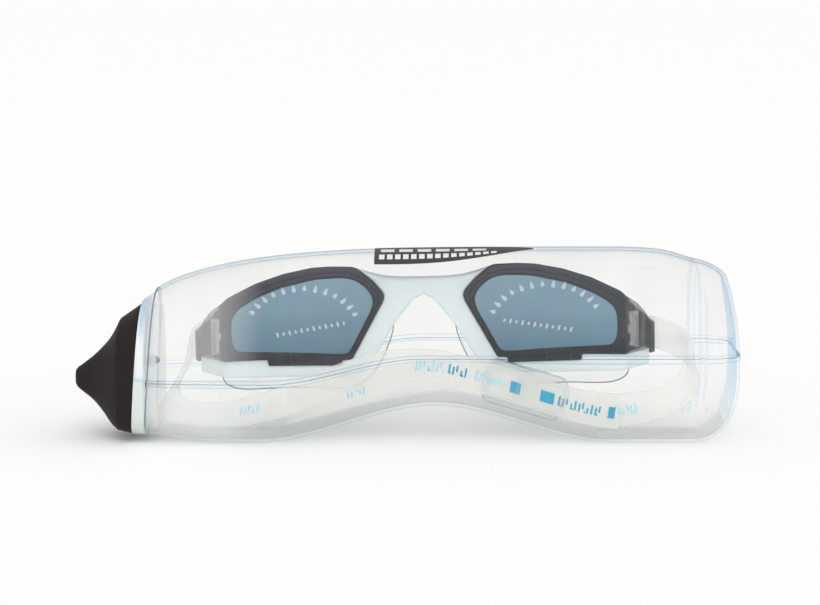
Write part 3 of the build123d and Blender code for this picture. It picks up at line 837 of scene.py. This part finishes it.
def seal_mesh(side):
    """Thin clear seal that flares from the frame to a rolled edge at the face."""
    steps = 14
    back = align(smooth(SEAL_BACK, 240, closed=True))
    front_edge = smooth(SEAL_FRONT, 240, closed=True)
    front = [reach_outline(PANE_MIDDLE, p, front_edge) for p in back]
    rows = []
    for i in range(steps + 1):
        t = i / steps if i < steps else 0.985
        rows.append((mixed(front, back, t ** 1.6), SEAL_Y[0] + (SEAL_Y[1] - SEAL_Y[0]) * t))
    rows.append((back, SEAL_Y[1]))
    rows += [(inset_loop(back, inset), SEAL_Y[1] + y) for inset, y in ((-0.12, 0.1), (-0.05, 0.3), (0.25, 0.3))]
    for i in range(steps, -1, -1):
        t = i / steps
        rows.append((pulled_in(mixed(front, back, t ** 1.6), PANE_MIDDLE, 0.9),
                     SEAL_Y[0] + (SEAL_Y[1] - SEAL_Y[0]) * t))
    rows.append(rows[0])
    points = [(GOGGLES_X + side * x, y, z) for loop, y in rows for x, z in loop]
    faces = ring_faces(len(rows), len(back))
    marks = [1 if steps <= (face[0] // len(back)) < steps + 2 else 0 for face in faces]
    return mesh_from("seal", points, faces, marks)


def tilted(mesh):
    """Turns a goggles mesh a little about the bridge, as the goggles lie in the case."""
    bridge = Matrix.Translation((GOGGLES_X * MM, 0, BRIDGE_Z * MM))
    mesh.transform(bridge @ Matrix.Rotation(-math.radians(GOGGLES_TILT), 4, "Y") @ bridge.inverted())
    return mesh


def inside_outline(x, z, outline):
    hit = False
    for (ax, az), (bx, bz) in zip(outline, outline[1:] + outline[:1]):
        if (az > z) != (bz > z) and x < ax + (z - az) / (bz - az) * (bx - ax):
            hit = not hit
    return hit


def behind_lenses(mesh):
    """Keeps the frame's skin behind the lenses that sit in it."""
    for vertex in mesh.vertices:
        distance, z = abs(vertex.co.x / MM - GOGGLES_X), vertex.co.z / MM
        if inside_outline(distance, z, LENS_OUTLINE):
            vertex.co.y = max(vertex.co.y, (wrap(distance, 0.0)[1] + FRAME_SETBACK) * MM)
    return mesh


def shaped_bracket(mesh):
    """Slopes the bracket's top down towards its outer end, and draws that end in."""
    for vertex in mesh.vertices:
        side = 1 if vertex.co.x / MM > GOGGLES_X else -1
        distance, z = side * (vertex.co.x / MM - GOGGLES_X), vertex.co.z / MM
        out = smoothstep((distance - 71.0) / 4.5)
        if z > 32.0:
            vertex.co.z -= BRACKET_DROP * out * min(1.0, (z - 32.0) / 6.3) * MM
        vertex.co.x -= side * BRACKET_TRIM * smoothstep((distance - 73.0) / 3.0) * MM
    return mesh


def softened(node, name, voxel, rounds):
    """Mesh of a CAD node with its edges rounded, as moulded silicone has them."""
    piece = bpy.data.objects.new(name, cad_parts[node].data.copy())
    scene.collection.objects.link(piece)
    piece.data.materials.clear()
    remesh = piece.modifiers.new("remesh", "REMESH")
    remesh.mode, remesh.voxel_size = "VOXEL", voxel * MM
    relax = piece.modifiers.new("relax", "SMOOTH")
    relax.factor, relax.iterations = 0.6, rounds
    bpy.context.view_layer.update()
    evaluated = piece.evaluated_get(bpy.context.evaluated_depsgraph_get())
    mesh = bpy.data.meshes.new_from_object(evaluated)
    bpy.data.objects.remove(piece)
    mesh.name = name
    return mesh


def bevelled(node, name, width):
    """Copy of a CAD node with a small round on its edges."""
    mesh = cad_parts[node].data.copy()
    mesh.name = name
    mesh.materials.clear()
    tool = bmesh.new()
    tool.from_mesh(mesh)
    bmesh.ops.remove_doubles(tool, verts=tool.verts, dist=1e-6)
    bmesh.ops.dissolve_limit(tool, angle_limit=math.radians(3), verts=tool.verts, edges=tool.edges)
    edges = [e for e in tool.edges if e.is_manifold and e.calc_face_angle(0) > math.radians(25)]
    bmesh.ops.bevel(tool, geom=edges, offset=width * MM, segments=3, profile=0.5, affect="EDGES",
                    clamp_overlap=True)
    bmesh.ops.triangulate(tool, faces=[f for f in tool.faces if len(f.verts) > 4])
    tool.to_mesh(mesh)
    tool.free()
    return mesh


def make_goggles():
    skin = behind_lenses(softened("frame", "frame_moulding", 0.45, 4))
    add_piece("frame_moulding", tilted(skin), "goggles", ("frame_silicone",), ["frame"], 180.0)
    for side, hand in ((1, "right"), (-1, "left")):
        bracket = shaped_bracket(bevelled(hand + "_strap_bracket", hand + "_bracket", 0.5))
        for name, mesh, slot, looks, node in (
                ("_lens_moulding", lens_mesh(side), "smoke_lens", ("lens_smoke", "side_window_smoke"), "_lens"),
                ("_film", film_mesh(side), "blue_film", ("film_blue", "film_print_white"), "_lens_film"),
                ("_seal", seal_mesh(side), "clear_silicone", ("seal_clear", "seal_edge_line"), "_eye_seal"),
                ("_bracket", bracket, "smoke_bracket", ("bracket_smoke",), "_strap_bracket")):
            add_piece(hand + name, tilted(mesh), "goggles", looks, [hand + node])


# ---- Straps and clip ----

def strap_section():
    """Offsets across a strap's width and thickness, with rounded edges and two shallow grooves in front."""
    half, thick = STRAP_WIDTH / 2 - STRAP_EDGE, STRAP_THICKNESS / 2
    across = [-1 + i / 12 for i in range(25)]
    front = [(v * half, thick - (0.18 if abs(abs(v) - 0.72) < 0.05 else 0.0)) for v in across]
    turns = [math.pi / 2 - math.pi * i / 6 for i in range(1, 6)]
    edge = [(half + STRAP_EDGE * math.cos(a), thick * math.sin(a)) for a in turns]
    back = [(v * half, -thick) for v in reversed(across)]
    return front + edge + back + [(-w, -t) for w, t in edge]


def strap_line(stations, count=320):
    """Middle line of a strap: points evenly along it, each with its sideways, upright and lean directions."""
    line = smooth([station[:3] for station in stations], count)
    near = [min(range(count), key=lambda i: math.dist(line[i], station[:3])) for station in stations]
    frames = []
    for i, point in enumerate(line):
        k = max(n for n in range(len(near) - 1) if n == 0 or near[n] <= i)
        t = smoothstep((i - near[k]) / max(1, near[k + 1] - near[k]))
        lean = math.radians(stations[k][3] + (stations[k + 1][3] - stations[k][3]) * t)
        a, b = line[max(i - 2, 0)], line[min(i + 2, count - 1)]
        run = math.hypot(b[0] - a[0], b[1] - a[1])
        side = Vector((-(b[1] - a[1]) / run, (b[0] - a[0]) / run, 0))
        inward = 1 if stations[0][0] < 0 else -1
        up = Vector((0, 0, 1))
        width = up * math.cos(lean) + side * inward * math.sin(lean)
        frames.append((Vector(point), width, side * math.cos(lean) - up * inward * math.sin(lean)))
    return frames


def strap_mesh(name, stations, prints):
    """Flat band along its stations, with a square end and the marks printed on it."""
    frames = strap_line(stations)
    section = strap_section()
    count = len(section)
    points = []
    for i, (point, width, side) in enumerate(frames):
        narrow, thin = (0.985, 0.82) if i in (0, len(frames) - 1) else (1.0, 1.0)
        points += [tuple(point + width * w * narrow + side * t * thin) for w, t in section]
    faces = ring_faces(len(frames), count)
    faces += [ring(0, count), ring(len(points) - count, count)]
    marks = [0] * len(faces)
    outer = -1 if stations[0][0] < 0 else 1
    front = len(frames) // 3
    for x, length, kind in prints:
        start = min(range(front, len(frames)), key=lambda i: abs(frames[i][0].x - x))
        for stroke in print_strokes(kind, length):
            add_stroke(points, faces, frames, start, stroke, outer)
            marks.append(2 if kind == "pale" else 1)
    return mesh_from(name, points, faces, marks)


def print_strokes(kind, length):
    """Plain marks as four-cornered strokes: (distance along, height) corners in millimetres."""
    if kind == "block":
        return [[(0.5, -1.9), (length - 0.3, -1.9), (length + 0.3, 1.9), (1.1, 1.9)]]
    strokes = []
    for i in range(int(length / 1.35)):
        low, high = ((-1.6, 1.6), (-1.6, 0.3), (-0.5, 1.6), (-1.6, 1.1))[(i * 7) % 4]
        x, slant = i * 1.35, (high - low) * 0.2
        strokes.append([(x, low), (x + 0.62, low), (x + 0.62 + slant, high), (x + slant, high)])
        if i % 3 == 0:
            strokes.append([(x + 0.62, -1.6), (x + 1.1, -1.6), (x + 1.2, -1.05), (x + 0.72, -1.05)])
    return strokes


def add_stroke(points, faces, frames, start, corners, outer):
    """One stroke as a thin patch on the outer face of the strap, from station number start."""
    pitch = math.dist(frames[10][0], frames[11][0])
    for along, height in corners:
        place = max(0.0, min(start + along / pitch, len(frames) - 1.001))
        i = int(place)
        t = place - i
        point = frames[i][0].lerp(frames[i + 1][0], t)
        width, side = frames[i][1].lerp(frames[i + 1][1], t), frames[i][2].lerp(frames[i + 1][2], t)
        points.append(tuple(point + width * height + side * outer * (STRAP_THICKNESS / 2 + 0.04)))
    faces.append(ring(len(points) - len(corners), len(corners)))


# Marks on each strap: where they start (X), how long they are, and their kind
LEFT_PRINTS = [(2.2, 10.5, "pale"), (13.2, 8.0, "row"), (21.6, 10.5, "pale"), (32.4, 4.2, "block"),
               (42.0, 5.4, "block"), (48.2, 15.0, "row"), (64.1, 3.0, "block"), (-60.0, 8.0, "pale")]
RIGHT_PRINTS = [(-13.5, 8.0, "pale"), (90.0, 7.0, "pale")]


def make_straps():
    for name, route, prints in (("left_strap", LEFT_STRAP, LEFT_PRINTS),
                                ("right_strap", RIGHT_STRAP, RIGHT_PRINTS)):
        add_piece(name + "_band", strap_mesh(name + "_band", route, prints), "goggles",
                  ("strap_silicone_clear", "strap_print_blue", "strap_print_pale"), [name], 50.0)
    add_piece("clip_moulding", bevelled("strap_clip", "clip_moulding", 0.35), "clip",
              ("clip_clear",), ["strap_clip"])


# ---- Nose cone and plug ----

def cone_station(x):
    """Bottom, top and half depth of the nose cone at x."""
    rows = CONE_STATIONS
    k = max(n for n in range(len(rows) - 1) if n == 0 or rows[n][0] >= x)
    t = (x - rows[k][0]) / (rows[k + 1][0] - rows[k][0])
    if k < 2 or k > len(rows) - 3:
        return between(rows[k][1:], rows[k + 1][1:], t)
    around = rows[max(k - 1, 2)], rows[k], rows[k + 1], rows[k + 2]
    return catmull(*(row[1:] for row in around), t)


def cone_point(x, angle):
    low, high, depth = cone_station(x)
    across, up = math.cos(angle), math.sin(angle)
    power = 2.0 / (ROUND_TOP if up > 0 else FLAT_BOTTOM)
    reach = high - CONE_MIDDLE_Z if up > 0 else CONE_MIDDLE_Z - low
    parting = 0.14 if abs(up) < 0.05 and x < -90 else 0.0
    return (x, (depth - parting) * math.copysign(abs(across) ** power, across),
            CONE_MIDDLE_Z - CONE_SAG * smoothstep((-92.5 - x) / 4.0) + reach * math.copysign(abs(up) ** power, up))


def drawn_in(x, point, share):
    """Cone point moved towards the cone's middle line, to a share of its distance, at x."""
    return x, point[1] * share, CONE_MIDDLE_Z + (point[2] - CONE_MIDDLE_Z) * share


def cone_mesh():
    """Nose cone: a straight collar from the mouth to a soft edge, a hollow curve to the blunt tip, and the barbed
    peg behind it."""
    count, collar, steps, round_peg = 96, 9, 46, 20
    angles = [2 * math.pi * (c + 0.5) / count for c in range(count)]
    tip, edge = CONE_STATIONS[-1][0], CONE_EDGE_X + 0.5
    points = []
    for r in range(collar):
        for angle in angles:
            x = MOUTH_X
            for _ in range(4):
                x = MOUTH_X + 0.02 + cone_point(x, angle)[2] * MOUTH_SLOPE
            x += (edge - x) * r / (collar - 1)
            points.append(drawn_in(x, cone_point(x, angle), 1.0 if r else 0.9825))
    for r in range(1, steps + 1):
        points += [cone_point(edge + (tip - edge) * r / steps, angle) for angle in angles]
    for share in (0.8, 0.5, 0.2):
        points += [drawn_in(tip - 0.04, cone_point(tip, angle), share) for angle in angles]
    faces = capped(collar + steps + 3, count) + [ring(0, count)]
    peg = len(points)
    for x, radius in PEG:
        turns = [2 * math.pi * k / round_peg for k in range(round_peg)]
        points += [(x, radius * math.cos(a), PEG_Z + radius * math.sin(a)) for a in turns]
    faces += capped(len(PEG), round_peg, peg)
    return mesh_from("nose_cone", points, faces)


def make_cap():
    add_piece("nose_cone", cone_mesh(), "cap", ("cone_black",), ["cap_nose_cone"], 75.0)
    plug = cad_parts["cap_plug"]
    plug.data.materials.clear()
    plug.data.materials.append(bpy.data.materials["plug_clear"])


def make_materials():
    clear_material("case_clear", (0.988, 0.989, 0.988), (0.50, 0.72, 0.87), 0.86, scuffs=0.025, shoulder=0.13)
    clear_material("case_clear_bead", (0.97, 0.982, 0.99), (0.46, 0.66, 0.80), 0.55)
    # Darker, bluer tint on the line where the bead meets the wall: painted shading of the bead's fillet.
    clear_material("case_clear_line", (0.72, 0.83, 0.91), (0.30, 0.48, 0.66), 0.3)
    clear_material("case_clear_base", (0.978, 0.98, 0.978), (0.60, 0.76, 0.80), 0.84, haze=0.13,
                   light_through=(0.92, 0.91, 0.885))
    # Darker tint on the tail's groove flanks: painted shade in the grooves.
    clear_material("case_clear_groove", (0.87, 0.93, 0.97), (0.55, 0.72, 0.85), 0.4)
    clear_material("case_clear_mouth", (0.34, 0.47, 0.62), (0.10, 0.20, 0.34), 0.4)
    clear_material("clip_clear", (0.965, 0.97, 0.97), (0.62, 0.67, 0.70), 0.74, haze=0.04)
    clear_material("seal_clear", (0.985, 0.987, 0.985), (0.86, 0.88, 0.87), 0.62, roughness=0.25, haze=0.02)
    plug_material()
    cone_material()
    film_material()
    tinted_material("seal_edge_line", (0.45, 0.50, 0.56), 0.55, (0.05, 0.06, 0.08), (0.03, 0.035, 0.06))
    tinted_material("lens_smoke", (0.25, 0.29, 0.33), 0.95, (0.008, 0.010, 0.016), (0.040, 0.043, 0.058))
    # The last number on the next two sets the strength of their painted highlight streaks.
    tinted_material("side_window_smoke", (0.72, 0.72, 0.73), 0.30, (0.06, 0.061, 0.066), (0.10, 0.102, 0.11), 0.22)
    tinted_material("bracket_smoke", (0.50, 0.50, 0.51), 0.60, (0.03, 0.031, 0.034), (0.05, 0.052, 0.058), 0.2)
    soft_material("frame_silicone", (0.93, 0.985, 1.0), (0.75, 0.86, 0.91), 0.30, 0.4, 220.0)
    soft_material("strap_silicone_clear", (0.97, 0.968, 0.955), (0.84, 0.85, 0.85), 0.70, 0.35, 120.0)
    print_material("film_print_white", (0.44, 0.56, 0.62))
    print_material("strap_print_blue", (0.010, 0.34, 0.52))
    print_material("strap_print_pale", (0.36, 0.70, 0.82))
    print_material("label_grey", (0.03, 0.03, 0.033))
    print_material("label_white", (0.75, 0.76, 0.76))


make_materials()
make_camera()
make_light()
make_floor()
make_case()
make_label()
make_goggles()
make_straps()
make_cap()
scene.view_settings.view_transform = "Standard"
scene.view_settings.look = "None"
scene.view_settings.exposure = 0.0
scene.cycles.max_bounces = 24
scene.cycles.transparent_max_bounces = 48
scene.cycles.transmission_bounces = 16
